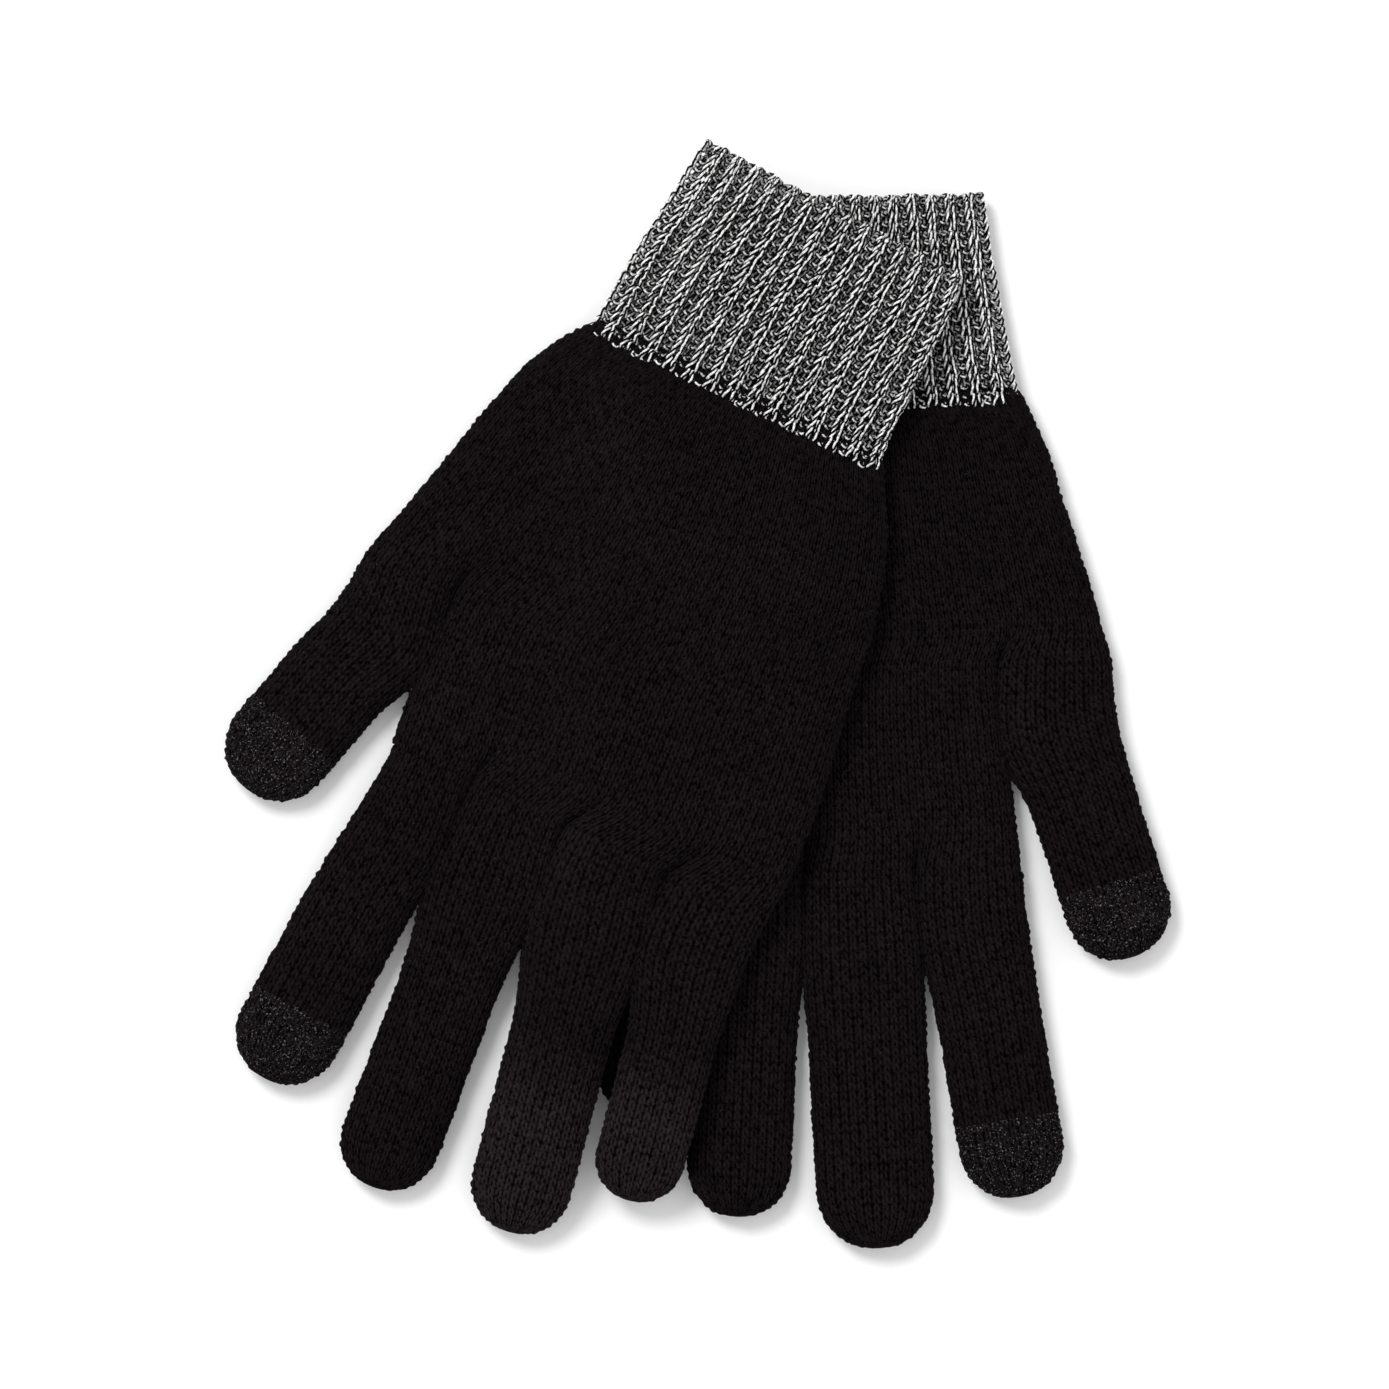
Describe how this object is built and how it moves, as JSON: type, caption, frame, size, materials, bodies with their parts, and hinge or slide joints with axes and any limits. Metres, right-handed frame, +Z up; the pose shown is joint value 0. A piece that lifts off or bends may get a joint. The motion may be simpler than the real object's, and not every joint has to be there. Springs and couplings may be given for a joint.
{
  "type": "pair of knitted touchscreen gloves",
  "caption": "Pair of black knitted gloves with grey marled rib cuffs and touch-sensitive thumb and index fingertips, lying flat with the left glove over the right.",
  "frame": {"origin": "on the table, under the middle of the pair's outline", "axes": "+Z up from the table, +Y towards the cuffs, +X to the right looking down with the fingers pointing towards -Y"},
  "size_m": [0.219, 0.2566, 0.0206],
  "materials": {
    "black_knit": "brushed plain knit, matt with fine fuzz",
    "touch_knit": "conductive yarn, heathered dark grey with fine bright flecks",
    "marl_rib": "one by one rib in light grey and black twisted yarn",
    "elastic_thread": "covered elastic thread, matt"
  },
  "bodies": {
    "right_glove": {"right_lower_palm": "black_knit", "right_upper_palm": "black_knit", "right_ring_finger": "black_knit", "right_little_finger": "black_knit", "right_cuff": "marl_rib", "right_cuff_edge": "marl_rib", "right_cuff_elastic": "elastic_thread"},
    "right_thumb": {"right_thumb": "black_knit", "right_thumb_touch_tip": "touch_knit"},
    "right_index_finger": {"right_index_finger": "black_knit", "right_index_touch_tip": "touch_knit"},
    "right_middle_finger": {"right_middle_finger": "black_knit"},
    "left_glove": {"left_lower_palm": "black_knit", "left_upper_palm": "black_knit", "left_cuff": "marl_rib", "left_cuff_edge": "marl_rib", "left_cuff_elastic": "elastic_thread"},
    "left_thumb": {"left_thumb": "black_knit", "left_thumb_touch_tip": "touch_knit"},
    "left_index_finger": {"left_index_finger": "black_knit", "left_index_touch_tip": "touch_knit"},
    "left_middle_finger": {"left_middle_finger": "black_knit"},
    "left_ring_finger": {"left_ring_finger": "black_knit"},
    "left_little_finger": {"left_little_finger": "black_knit"}
  },
  "joints": [
    {"name": "left_glove_lift", "type": "slide", "parent": "right_glove", "child": "left_glove", "axis": [0, 0, 1], "range_m": [0, 0.06]},
    {"name": "left_thumb_lift", "type": "hinge", "parent": "left_glove", "child": "left_thumb", "pos_m": [-0.06807, 0.02757, 0.008], "axis": [-0.8973, 0.4415, 0], "range_deg": [0, 60]},
    {"name": "left_index_finger_lift", "type": "hinge", "parent": "left_glove", "child": "left_index_finger", "pos_m": [-0.06207, -0.0155, 0.008], "axis": [-0.8973, 0.4415, 0], "range_deg": [0, 60]},
    {"name": "left_middle_finger_lift", "type": "hinge", "parent": "left_glove", "child": "left_middle_finger", "pos_m": [-0.04171, -0.02552, 0.01366], "axis": [-0.8973, 0.4415, 0], "range_deg": [0, 60]},
    {"name": "left_ring_finger_lift", "type": "hinge", "parent": "left_glove", "child": "left_ring_finger", "pos_m": [-0.01918, -0.0366, 0.0186], "axis": [-0.8973, 0.4415, 0], "range_deg": [0, 60]},
    {"name": "left_little_finger_lift", "type": "hinge", "parent": "left_glove", "child": "left_little_finger", "pos_m": [0.00388, -0.04795, 0.0186], "axis": [-0.8973, 0.4415, 0], "range_deg": [0, 60]},
    {"name": "right_thumb_lift", "type": "hinge", "parent": "right_glove", "child": "right_thumb", "pos_m": [0.08326, 0.00714, 0.008], "axis": [-0.9994, -0.0349, 0], "range_deg": [0, 60]},
    {"name": "right_index_finger_lift", "type": "hinge", "parent": "right_glove", "child": "right_index_finger", "pos_m": [0.06284, -0.04141, 0.008], "axis": [-0.9994, -0.0349, 0], "range_deg": [0, 60]},
    {"name": "right_middle_finger_lift", "type": "hinge", "parent": "right_glove", "child": "right_middle_finger", "pos_m": [0.03786, -0.04228, 0.008], "axis": [-0.9994, -0.0349, 0], "range_deg": [0, 60]}
  ]
}
